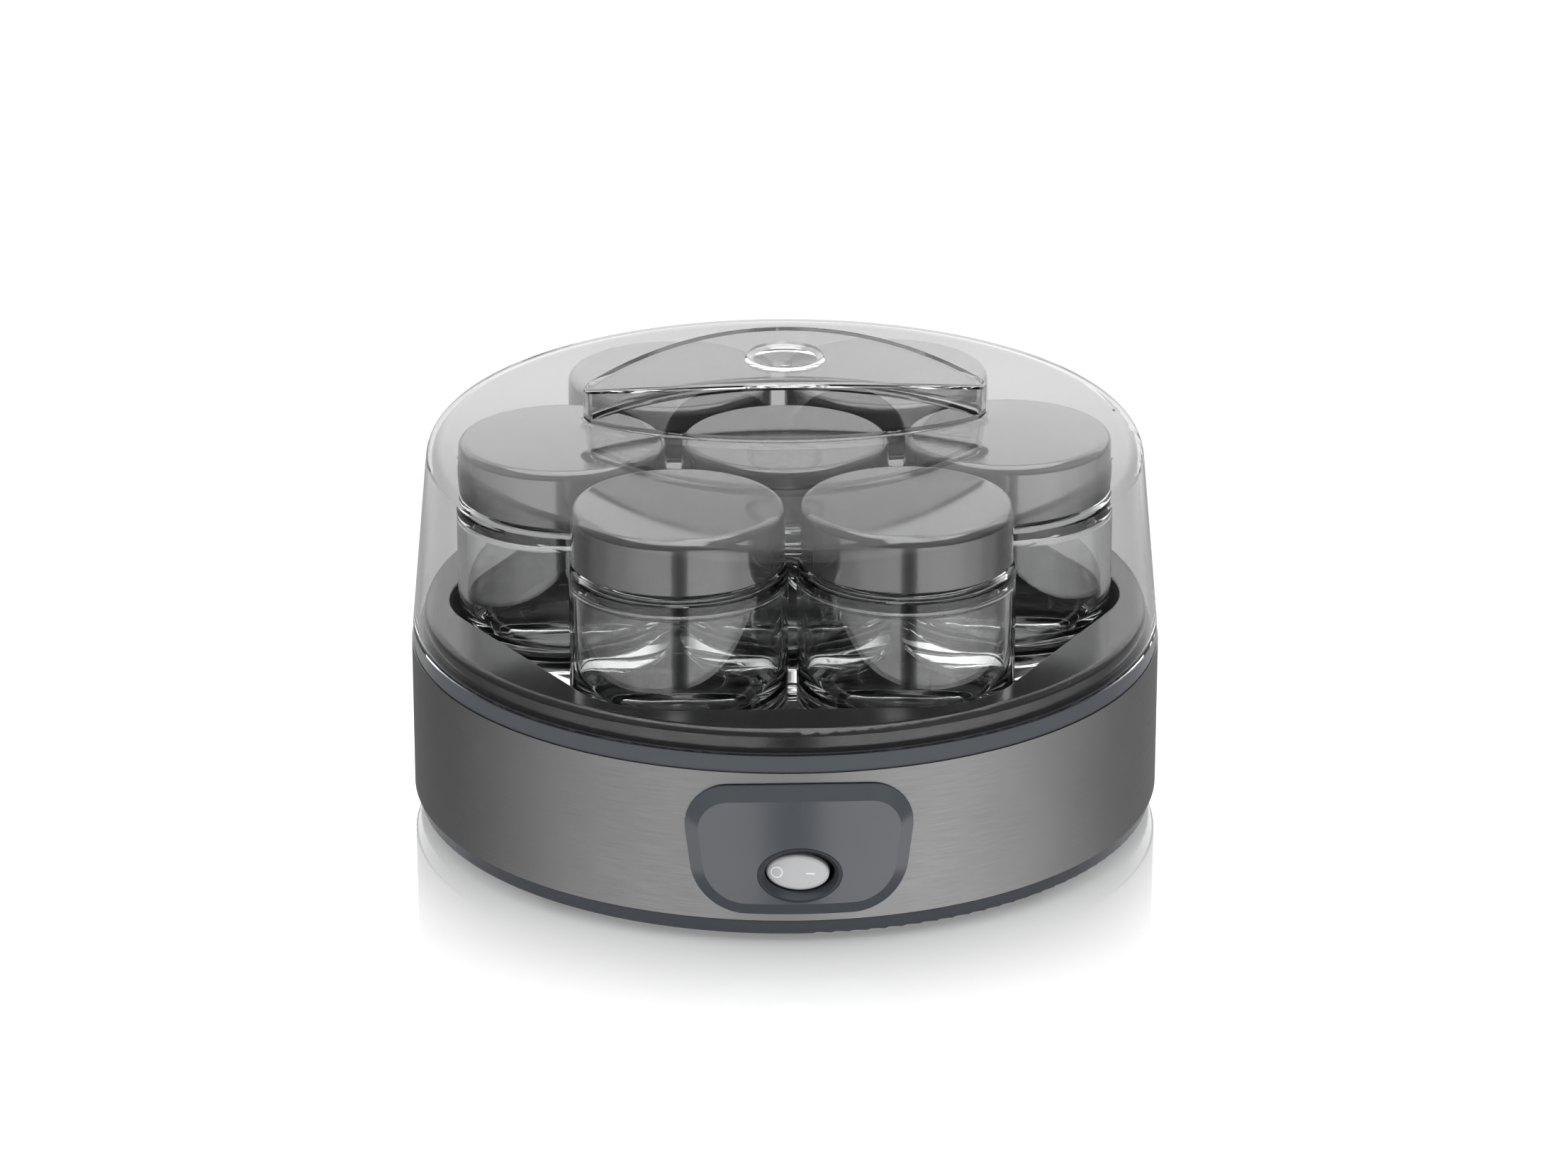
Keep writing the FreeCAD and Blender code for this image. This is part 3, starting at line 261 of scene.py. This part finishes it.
class Surface(Nodes):
    """A material that starts with one Principled shader."""

    def __init__(self, name):
        self.material = bpy.data.materials.new(name)
        self.material.use_nodes = True
        super().__init__(self.material.node_tree)
        self.shader = self.tree.nodes["Principled BSDF"]
        self.output = self.tree.nodes["Material Output"]

    def set(self, **values):
        for name, value in values.items():
            self.shader.inputs[name.replace("_", " ")].default_value = value

    def colour(self, socket):
        self.feed(self.shader.inputs["Base Color"], socket)

    def roughness(self, socket):
        self.feed(self.shader.inputs["Roughness"], socket)

    def show(self, shader):
        self.feed(self.output.inputs["Surface"], shader)

    def place(self):
        return self.node("ShaderNodeTexCoord").outputs["Object"]

    def axis_distance(self):
        """Distance from the object's upright axis."""
        place = self.split(self.place())
        return self.length(place["X"], place["Y"])

    def noise(self, scale, detail, place=None):
        made = self.node("ShaderNodeTexNoise")
        made.inputs["Scale"].default_value = scale
        made.inputs["Detail"].default_value = detail
        self.feed(made.inputs["Vector"], place or self.place())
        return made.outputs["Fac"]

    def bump(self, height, depth, strength):
        made = self.node("ShaderNodeBump")
        made.inputs["Distance"].default_value = depth
        made.inputs["Strength"].default_value = strength
        self.feed(made.inputs["Height"], height)
        self.feed(self.shader.inputs["Normal"], made.outputs["Normal"])


# Materials


def plastic_skin(name, gloss, grain, mirror):
    """Glossy moulded plastic without its colour: uneven gloss and a fine skin."""
    surface = Surface(name)
    surface.roughness(surface.spread(surface.noise(scale=60.0, detail=3.0), gloss * 0.95, gloss * 1.06))
    surface.bump(surface.noise(scale=2600.0, detail=2.0), depth=0.0000009, strength=grain)
    surface.set(Specular_IOR_Level=mirror)
    return surface


def moulded(name, base, patch, gloss, grain=0.6, mirror=0.5):
    """Glossy moulded plastic with a faint cloud in its colour."""
    surface = plastic_skin(name, gloss, grain, mirror)
    surface.colour(surface.blend(surface.noise(scale=22.0, detail=3.0), base, patch))
    return surface.material


def housing_plastic():
    base = (0.068, 0.074, 0.083, 1)
    patch = (0.07, 0.076, 0.085, 1)
    return moulded("housing_plastic", base, patch, gloss=0.2, mirror=0.3)


def rim_plastic():
    """The upper moulding: the strip shows the blue-grey of the panel, the rim is near black."""
    surface = plastic_skin("rim_plastic", gloss=0.16, grain=0.6, mirror=0.5)
    outside = surface.spread(surface.axis_distance(), 0.0, 1.0, STRIP_INNER, STRIP_INNER + STRIP_FADE)
    surface.colour(surface.blend(outside, grey(52), STRIP_COLOUR))
    return surface.material


def well_plastic():
    return moulded("well_plastic", grey(14), grey(18), gloss=0.3)


def brushed_steel():
    """Dark sheet metal with long fine scratches round the band."""
    surface = Surface("band_steel")
    place = surface.split(surface.place())
    angle = surface.math("ARCTAN2", place["X"], surface.math("MULTIPLY", place["Y"], -1.0))
    stretched = surface.node("ShaderNodeCombineXYZ")
    surface.feed(stretched.inputs["X"], surface.math("MULTIPLY", angle, 9.0))
    surface.feed(stretched.inputs["Y"], surface.math("MULTIPLY", place["Z"], 3600.0))
    scratches = surface.noise(scale=1.0, detail=4.0, place=stretched.outputs[0])
    clouds = surface.noise(scale=34.0, detail=3.0)
    parts = [surface.math("MULTIPLY", scratches, 0.7), surface.math("MULTIPLY", clouds, 0.3)]
    tone = surface.spread(surface.math("ADD", *parts), 0.0, 1.0)
    surface.colour(surface.blend(tone, grey(92), grey(104)))
    surface.roughness(surface.spread(scratches, 0.3, 0.42))
    surface.bump(scratches, depth=0.000004, strength=0.5)
    surface.set(Metallic=1.0, Anisotropic=0.75, Anisotropic_Rotation=0.0)
    tangent = surface.node("ShaderNodeTangent", direction_type="RADIAL", axis="Z")
    surface.feed(surface.shader.inputs["Tangent"], tangent.outputs[0])
    return surface.material


def lid_plastic():
    return moulded("lid_plastic", grey(66), grey(68), gloss=0.08, grain=0.08, mirror=0.95)


def bezel_plastic():
    base = (0.032, 0.036, 0.041, 1)
    patch = (0.037, 0.041, 0.046, 1)
    return moulded("bezel_plastic", base, patch, gloss=0.32, mirror=0.15)


def rocker_plastic():
    return moulded("rocker_plastic", (0.47, 0.475, 0.487, 1), (0.5, 0.505, 0.517, 1), gloss=0.3)


def print_white():
    return moulded("print_white", grey(238), grey(246), gloss=0.4, grain=0.3)


def switch_plastic():
    return moulded("switch_plastic", grey(34), grey(42), gloss=0.4)


def thermostat_body():
    return moulded("thermostat_body", grey(60), grey(66), gloss=0.45)


def fuse_body():
    return moulded("fuse_body", grey(205), grey(220), gloss=0.35)


def wire(name, base, patch):
    return moulded(name, base, patch, gloss=0.45)


def rubber(name, base, patch):
    """Matt rubber with a dusty bloom."""
    surface = Surface(name)
    surface.colour(surface.blend(surface.noise(scale=90.0, detail=5.0), base, patch))
    surface.roughness(surface.spread(surface.noise(scale=420.0, detail=3.0), 0.62, 0.85))
    surface.bump(surface.noise(scale=1500.0, detail=3.0), depth=0.00003, strength=0.6)
    return surface.material


def plain_metal(name, base, patch, rough):
    """Machined or plated metal with uneven polish."""
    surface = Surface(name)
    surface.colour(surface.blend(surface.noise(scale=180.0, detail=4.0), base, patch))
    surface.roughness(surface.spread(surface.noise(scale=900.0, detail=3.0), rough * 0.8, rough * 1.3))
    surface.bump(surface.noise(scale=2200.0, detail=2.0), depth=0.000008, strength=0.4)
    surface.set(Metallic=1.0)
    return surface.material


def clear(name, tint, index):
    """Clear glass or plastic with faint flow lines."""
    surface = Surface(name)
    surface.set(Transmission_Weight=1.0, IOR=index, Base_Color=tint)
    surface.roughness(surface.spread(surface.noise(scale=60.0, detail=2.0), 0.0, 0.015))
    surface.bump(surface.noise(scale=38.0, detail=1.0), depth=0.00002, strength=0.5)
    return surface


def lit_inside(surface, seen, shade):
    """Finishes a clear surface, which lets lamp light through to what is inside."""
    through = surface.node("ShaderNodeBsdfTransparent")
    through.inputs["Color"].default_value = shade
    path = surface.node("ShaderNodeLightPath")
    lets_light = surface.math("MAXIMUM", path.outputs["Is Shadow Ray"], path.outputs["Is Diffuse Ray"])
    surface.show(surface.mix(lets_light, seen, through.outputs[0]))
    return surface.material


def clear_cover():
    """A wall with little shine, as the photo shows no veil on it, and a handle whose sides have all of it."""
    surface = clear("clear_cover", WALL_TINT, WALL_INDEX)
    handle = surface.node("ShaderNodeBsdfPrincipled")
    handle.inputs["Base Color"].default_value = HANDLE_TINT
    handle.inputs["Transmission Weight"].default_value = 1.0
    handle.inputs["IOR"].default_value = HANDLE_INDEX
    handle.inputs["Roughness"].default_value = HANDLE_ROUGHNESS
    near = surface.math("LESS_THAN", surface.axis_distance(), HANDLE_REACH)
    facing = surface.split(surface.node("ShaderNodeNewGeometry").outputs["Normal"])
    steep = surface.math("LESS_THAN", surface.math("ABSOLUTE", facing["Z"]), HANDLE_STEEP)
    on_handle = surface.math("MULTIPLY", near, steep)
    seen = surface.mix(on_handle, surface.shader.outputs[0], handle.outputs[0])
    return lit_inside(surface, seen, COVER_SHADE)


def jar_glass():
    surface = clear("jar_glass", JAR_TINT, JAR_INDEX)
    return lit_inside(surface, surface.shader.outputs[0], JAR_SHADE)


def slot_materials():
    """One material for each material slot of the record."""
    return {
        "housing_plastic": housing_plastic(),
        "well_plastic": well_plastic(),
        "band_steel": brushed_steel(),
        "bezel_plastic": bezel_plastic(),
        "rocker_plastic": rocker_plastic(),
        "switch_plastic": switch_plastic(),
        "clear_cover": clear_cover(),
        "jar_glass": jar_glass(),
        "lid_plastic": lid_plastic(),
        "foot_rubber": rubber("foot_rubber", grey(38), grey(48)),
        "bush_rubber": rubber("bush_rubber", grey(46), grey(56)),
        "screw_steel": plain_metal("screw_steel", grey(176), grey(196), 0.3),
        "contact_brass": plain_metal("contact_brass", (0.6, 0.44, 0.17, 1), (0.68, 0.5, 0.2, 1), 0.32),
        "plate_aluminium": plain_metal("plate_aluminium", grey(205), grey(218), 0.42),
        "mat_silicone": rubber("mat_silicone", (0.42, 0.11, 0.065, 1), (0.48, 0.13, 0.075, 1)),
        "thermostat_body": thermostat_body(),
        "fuse_body": fuse_body(),
        "wire_brown": wire("wire_brown", (0.1, 0.045, 0.02, 1), (0.12, 0.055, 0.026, 1)),
        "wire_blue": wire("wire_blue", (0.02, 0.06, 0.2, 1), (0.026, 0.075, 0.23, 1)),
    }


def put_on(thing, material):
    thing.data.materials.clear()
    thing.data.materials.append(material)


def dress(frame):
    """Gives each CAD node the material of its slot, and the upper moulding its own."""
    materials = slot_materials()
    for entry in frame["record"]["subparts"]:
        put_on(frame["nodes"][entry["node"]], materials[entry["material_slot"]])
    put_on(frame["nodes"]["base_housing"], rim_plastic())


# Marks on the rocker


def on_rocker(frame, x, z):
    """The point of the rocker's front face at x across and z up, and the way out of the face there."""
    low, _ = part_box("switch_rocker")
    start = Vector((x, low.y - MARK_SEARCH, z))
    found, point, normal, _ = frame["nodes"]["switch_rocker"].ray_cast(start, Vector((0, 1, 0)))
    if not found:
        raise RuntimeError("a mark misses the rocker")
    return point, normal


def mark(frame, name, outlines, closed, paint):
    """A thin printed line on the rocker between an inner and an outer outline of (x, z) points."""
    tops = []
    bottoms = []
    for outline in outlines:
        row = [on_rocker(frame, x, z) for x, z in outline]
        tops.append([point + normal * MARK_HEIGHT for point, normal in row])
        bottoms.append([point - normal * MARK_HEIGHT for point, normal in row])
    form = bmesh.new()
    loops = []
    for row in (tops[0], tops[1], bottoms[1], bottoms[0]):
        loops.append([form.verts.new(point) for point in row])
    count = len(loops[0])
    for first, second in zip(loops, loops[1:] + loops[:1]):
        for k in range(count if closed else count - 1):
            n = (k + 1) % count
            form.faces.new((first[k], first[n], second[n], second[k]))
    if not closed:
        form.faces.new([loop[0] for loop in loops])
        form.faces.new([loop[-1] for loop in reversed(loops)])
    bmesh.ops.recalc_face_normals(form, faces=form.faces)
    mesh = bpy.data.meshes.new(name)
    form.to_mesh(mesh)
    form.free()
    piece = bpy.data.objects.new(name, mesh)
    bpy.context.scene.collection.objects.link(piece)
    put_on(piece, paint)
    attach(piece, "rocker")


def rocker_marks(frame):
    """The ring for off and the bar for on, printed on the ends of the rocker."""
    paint = print_white()
    low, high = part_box("switch_rocker")
    across = (low.x + high.x) / 2
    height = (low.z + high.z) / 2
    turns = [math.tau * k / RING_STEPS for k in range(RING_STEPS)]
    circles = []
    for radius in (RING_RADIUS - RING_LINE / 2, RING_RADIUS + RING_LINE / 2):
        circle = [(across + RING_OFFSET + radius * math.cos(t), height + radius * math.sin(t)) for t in turns]
        circles.append(circle)
    mark(frame, "off_ring", circles, True, paint)
    steps = [across + BAR_OFFSET + BAR_LENGTH * (k / BAR_STEPS - 0.5) for k in range(BAR_STEPS + 1)]
    edges = [[(x, height + side * BAR_LINE / 2) for x in steps] for side in (-1, 1)]
    mark(frame, "on_bar", edges, False, paint)


# Camera, light and floor


def camera():
    data = bpy.data.cameras.new("camera")
    data.sensor_width = SENSOR_WIDTH
    data.lens = FOCAL_PIXELS / IMAGE_WIDTH * SENSOR_WIDTH
    data.shift_x = -AIM_PIXELS_RIGHT / IMAGE_WIDTH
    data.shift_y = AIM_PIXELS_DOWN / IMAGE_WIDTH
    thing = bpy.data.objects.new("camera", data)
    bpy.context.scene.collection.objects.link(thing)
    turn = math.radians(CAMERA_AZIMUTH)
    rise = math.radians(CAMERA_ELEVATION)
    back = Vector((math.sin(turn) * math.cos(rise), -math.cos(turn) * math.cos(rise), math.sin(rise)))
    thing.location = Vector((0, 0, AIM_HEIGHT)) + back * CAMERA_DISTANCE
    thing.rotation_mode = "QUATERNION"
    thing.rotation_quaternion = (-back).to_track_quat("-Z", "Y")
    bpy.context.scene.camera = thing


def lamp(name, place, size, watts):
    """A soft box that lights the object but isn't itself mirrored in it."""
    data = bpy.data.lights.new(name, "AREA")
    data.shape = "RECTANGLE"
    data.size, data.size_y = size
    data.energy = watts
    thing = bpy.data.objects.new(name, data)
    bpy.context.scene.collection.objects.link(thing)
    thing.location = place
    thing.rotation_mode = "QUATERNION"
    thing.rotation_quaternion = (Vector(LAMP_AIM) - Vector(place)).to_track_quat("-Z", "Y")
    thing.visible_glossy = False
    thing.visible_transmission = False


def lamps():
    lamp("top_lamp", TOP_LAMP_PLACE, TOP_LAMP_SIZE, TOP_LAMP_WATTS)
    x, y, z = SIDE_LAMP_PLACE
    lamp("left_lamp", (-x, y, z), SIDE_LAMP_SIZE, SIDE_LAMP_WATTS)
    lamp("right_lamp", (x, y, z), SIDE_LAMP_SIZE, SIDE_LAMP_WATTS)


def mirrored_room(nodes):
    """What shiny surfaces mirror: two soft boxes in front, dark sides, a lit backdrop, a box overhead."""
    x, y, z = nodes.split(nodes.node("ShaderNodeTexCoord").outputs["Generated"])
    flat = nodes.math("MAXIMUM", nodes.length(x, y), 0.001)
    behind = nodes.math("MULTIPLY_ADD", nodes.math("DIVIDE", y, flat), 0.5, 0.5)

    def above(limits):
        return nodes.spread(z, 0.0, 1.0, *limits, interpolation_type="SMOOTHSTEP")

    room = nodes.ramp(behind, ROOM_STOPS)
    table = nodes.blend(above(TABLE_FOOT), room, nodes.ramp(behind, TABLE_STOPS))
    lower = nodes.blend(above(TABLE_TOP), table, room)
    upper = nodes.blend(above(HIGH_START), lower, nodes.ramp(behind, HIGH_STOPS))
    mirrored = nodes.blend(above(OVERHEAD_START), upper, (OVERHEAD, OVERHEAD, OVERHEAD, 1))
    return nodes.background(mirrored, nodes.math("MULTIPLY_ADD", x, RIGHT_SHARE, 1.0))


def world():
    """White to the camera, a little dimmer through glass, and a studio room to mirrors."""
    made = bpy.data.worlds.new("studio")
    made.use_nodes = True
    bpy.context.scene.world = made
    made.node_tree.nodes.clear()
    nodes = Nodes(made.node_tree)
    path = nodes.node("ShaderNodeLightPath")
    seen = path.outputs["Is Camera Ray"]
    through = path.outputs["Is Transmission Ray"]
    strength = nodes.math("MAXIMUM", seen, nodes.math("MULTIPLY", through, SEEN_THROUGH))
    white = nodes.background(WHITE, strength)
    ambient = nodes.background(WHITE, AMBIENT)
    straight = nodes.mix(nodes.math("MAXIMUM", seen, through), ambient, white)
    mirrored = nodes.math("GREATER_THAN", path.outputs["Glossy Depth"], 0.5)
    both = nodes.mix(mirrored, straight, mirrored_room(nodes))
    nodes.feed(nodes.node("ShaderNodeOutputWorld").inputs["Surface"], both)


def floor_material():
    """Pale, white away from the object and a faint mirror close to it; mirrors look through it."""
    surface = Surface("floor")
    surface.tree.nodes.remove(surface.shader)
    path = surface.node("ShaderNodeLightPath")
    radius = surface.axis_distance()
    pale = surface.node("ShaderNodeBsdfDiffuse")
    pale.inputs["Color"].default_value = (FLOOR_ALBEDO, FLOOR_ALBEDO, FLOOR_ALBEDO, 1)
    level = surface.spread(radius, FLOOR_GLOW, 1.0, WHITE_START, WHITE_END)
    glow = surface.emission(surface.math("MULTIPLY", path.outputs["Is Camera Ray"], level))
    bright = surface.node("ShaderNodeAddShader")
    surface.feed(bright.inputs[0], pale.outputs[0])
    surface.feed(bright.inputs[1], glow)
    gloss = surface.node("ShaderNodeBsdfGlossy")
    gloss.inputs["Roughness"].default_value = FLOOR_GLOSS
    share = surface.spread(radius, MIRROR_SHARE, 0.0, MIRROR_START, MIRROR_END)
    plain = surface.mix(share, bright.outputs[0], gloss.outputs[0])
    straight = surface.mix(path.outputs["Is Transmission Ray"], plain, surface.emission(SEEN_THROUGH))
    mirrored = surface.math("GREATER_THAN", path.outputs["Glossy Depth"], 0.5)
    hidden = surface.node("ShaderNodeBsdfTransparent")
    surface.show(surface.mix(mirrored, straight, hidden.outputs[0]))
    return surface.material


def floor():
    half = FLOOR_SIZE / 2
    corners = [(-half, -half, 0), (half, -half, 0), (half, half, 0), (-half, half, 0)]
    mesh = bpy.data.meshes.new("floor")
    mesh.from_pydata(corners, [], [(0, 1, 2, 3)])
    thing = bpy.data.objects.new("floor", mesh)
    bpy.context.scene.collection.objects.link(thing)
    put_on(thing, floor_material())
    thing.visible_glossy = False


# The scene


def clear_start():
    for thing in list(bpy.data.objects):
        bpy.data.objects.remove(thing)


def render_settings():
    """Plain view, and enough bounces for the walls of glass that stand behind one another."""
    scene = bpy.context.scene
    scene.view_settings.view_transform = "Standard"
    scene.cycles.max_bounces = 40
    scene.cycles.transmission_bounces = 36
    scene.cycles.glossy_bounces = 8
    scene.cycles.transparent_max_bounces = 40


clear_start()
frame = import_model()
dress(frame)
rocker_marks(frame)
camera()
lamps()
world()
floor()
render_settings()
